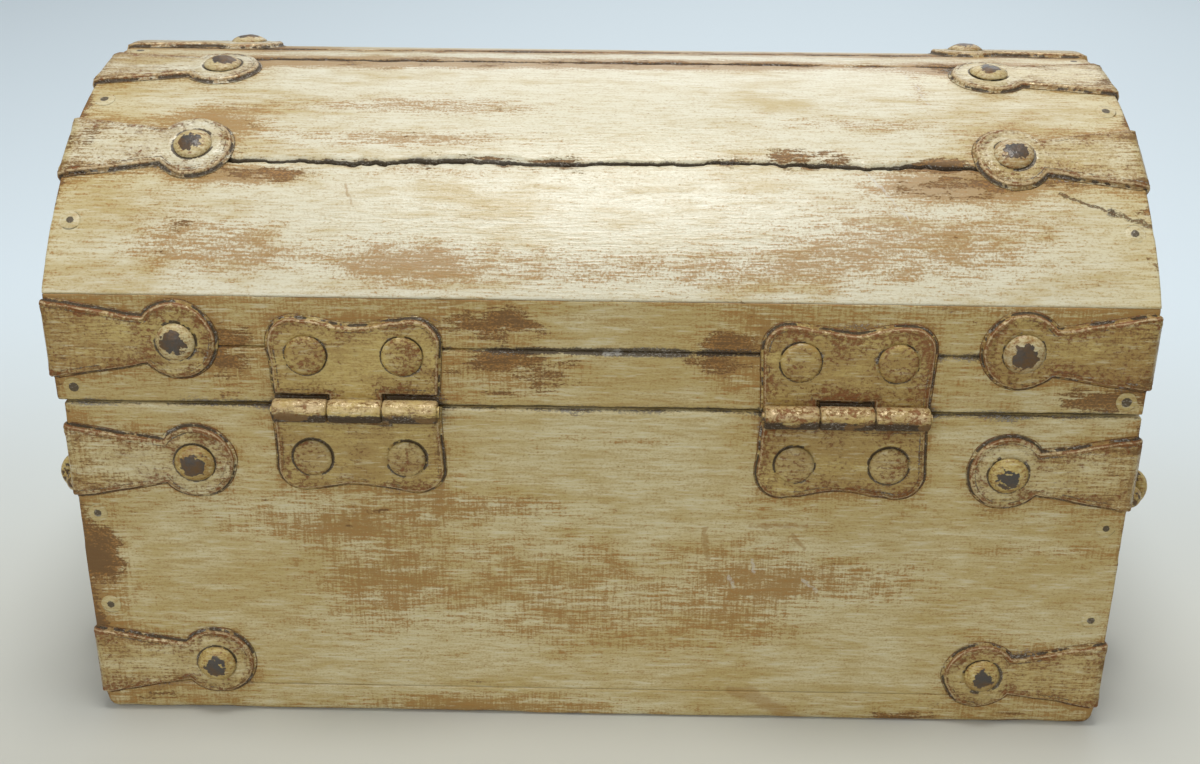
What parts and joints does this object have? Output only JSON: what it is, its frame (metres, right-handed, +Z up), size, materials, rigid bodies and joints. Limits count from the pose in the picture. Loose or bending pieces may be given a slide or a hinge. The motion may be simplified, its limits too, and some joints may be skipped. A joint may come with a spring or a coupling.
{
  "type": "dome top trunk",
  "caption": "Small wooden trunk with a domed slatted lid on two iron surface hinges, iron corner straps, a front hasp and drop handles on the ends, in worn cream paint.",
  "frame": {"origin": "middle of the body's footprint, on the surface that the trunk stands on", "axes": "+X along the trunk, +Y towards the hinge side, +Z up; the hasp side faces -Y"},
  "size_m": [0.285, 0.1796, 0.1562],
  "materials": {
    "painted_wood": "cream paint, rubbed through to brown wood at edges and joints",
    "painted_iron": "cream paint over sheet iron, rust and dark grime at the edges",
    "nail_iron": "hammered iron nail heads with remains of cream paint",
    "forged_iron": "forged iron bar with remains of cream paint"
  },
  "bodies": {
    "trunk_body": {"back_board": "painted_wood", "body_board_nails": "nail_iron", "body_plate_nails": "nail_iron", "body_strap_lower_back_left": "painted_iron", "body_strap_lower_back_right": "painted_iron", "body_strap_lower_front_left": "painted_iron", "body_strap_lower_front_right": "painted_iron", "body_strap_nails": "nail_iron", "body_strap_upper_back_left": "painted_iron", "body_strap_upper_back_right": "painted_iron", "body_strap_upper_front_left": "painted_iron", "body_strap_upper_front_right": "painted_iron", "bottom_board": "painted_wood", "front_board": "painted_wood", "handle_eye_left_back": "forged_iron", "handle_eye_left_front": "forged_iron", "handle_eye_right_back": "forged_iron", "handle_eye_right_front": "forged_iron", "hasp_staple": "forged_iron", "hinge_lower_leaf_left": "painted_iron", "hinge_lower_leaf_right": "painted_iron", "hinge_pin_left": "forged_iron", "hinge_pin_right": "forged_iron", "left_end_board": "painted_wood", "right_end_board": "painted_wood", "staple_plate": "painted_iron"},
    "lid": {"hasp_leaf": "painted_iron", "hasp_pin": "forged_iron", "hinge_upper_leaf_left": "painted_iron", "hinge_upper_leaf_right": "painted_iron", "lid_back_lower_rail": "painted_wood", "lid_back_upper_rail": "painted_wood", "lid_board_nails": "nail_iron", "lid_front_lower_rail": "painted_wood", "lid_front_upper_rail": "painted_wood", "lid_left_end": "painted_wood", "lid_plate_nails": "nail_iron", "lid_right_end": "painted_wood", "lid_slat_back_inner": "painted_wood", "lid_slat_back_outer": "painted_wood", "lid_slat_front_inner": "painted_wood", "lid_slat_front_outer": "painted_wood", "lid_slat_ridge": "painted_wood", "lid_strap_nails": "nail_iron", "lid_strap_outer_back_left": "painted_iron", "lid_strap_outer_back_right": "painted_iron", "lid_strap_outer_front_left": "painted_iron", "lid_strap_outer_front_right": "painted_iron", "lid_strap_ridge_back_left": "painted_iron", "lid_strap_ridge_back_right": "painted_iron", "lid_strap_ridge_front_left": "painted_iron", "lid_strap_ridge_front_right": "painted_iron", "lid_strap_rim_back_left": "painted_iron", "lid_strap_rim_back_right": "painted_iron", "lid_strap_rim_front_left": "painted_iron", "lid_strap_rim_front_right": "painted_iron"},
    "hasp": {"hasp_tongue": "painted_iron"},
    "right_handle": {"right_bail": "forged_iron"},
    "left_handle": {"left_bail": "forged_iron"}
  },
  "joints": [
    {"name": "lid_hinge", "type": "hinge", "parent": "trunk_body", "child": "lid", "pos_m": [0, 0.0802, 0.0872], "axis": [-1, 0, 0], "range_deg": [0, 170]},
    {"name": "hasp_swing", "type": "hinge", "parent": "lid", "child": "hasp", "pos_m": [0, -0.0802, 0.0967], "axis": [-1, 0, 0], "range_deg": [0, 148]},
    {"name": "right_handle_swing", "type": "hinge", "parent": "trunk_body", "child": "right_handle", "pos_m": [0.1364, 0, 0.053], "axis": [0, -1, 0], "range_deg": [-8, 170]},
    {"name": "left_handle_swing", "type": "hinge", "parent": "trunk_body", "child": "left_handle", "pos_m": [-0.1364, 0, 0.053], "axis": [0, 1, 0], "range_deg": [-8, 170]}
  ]
}
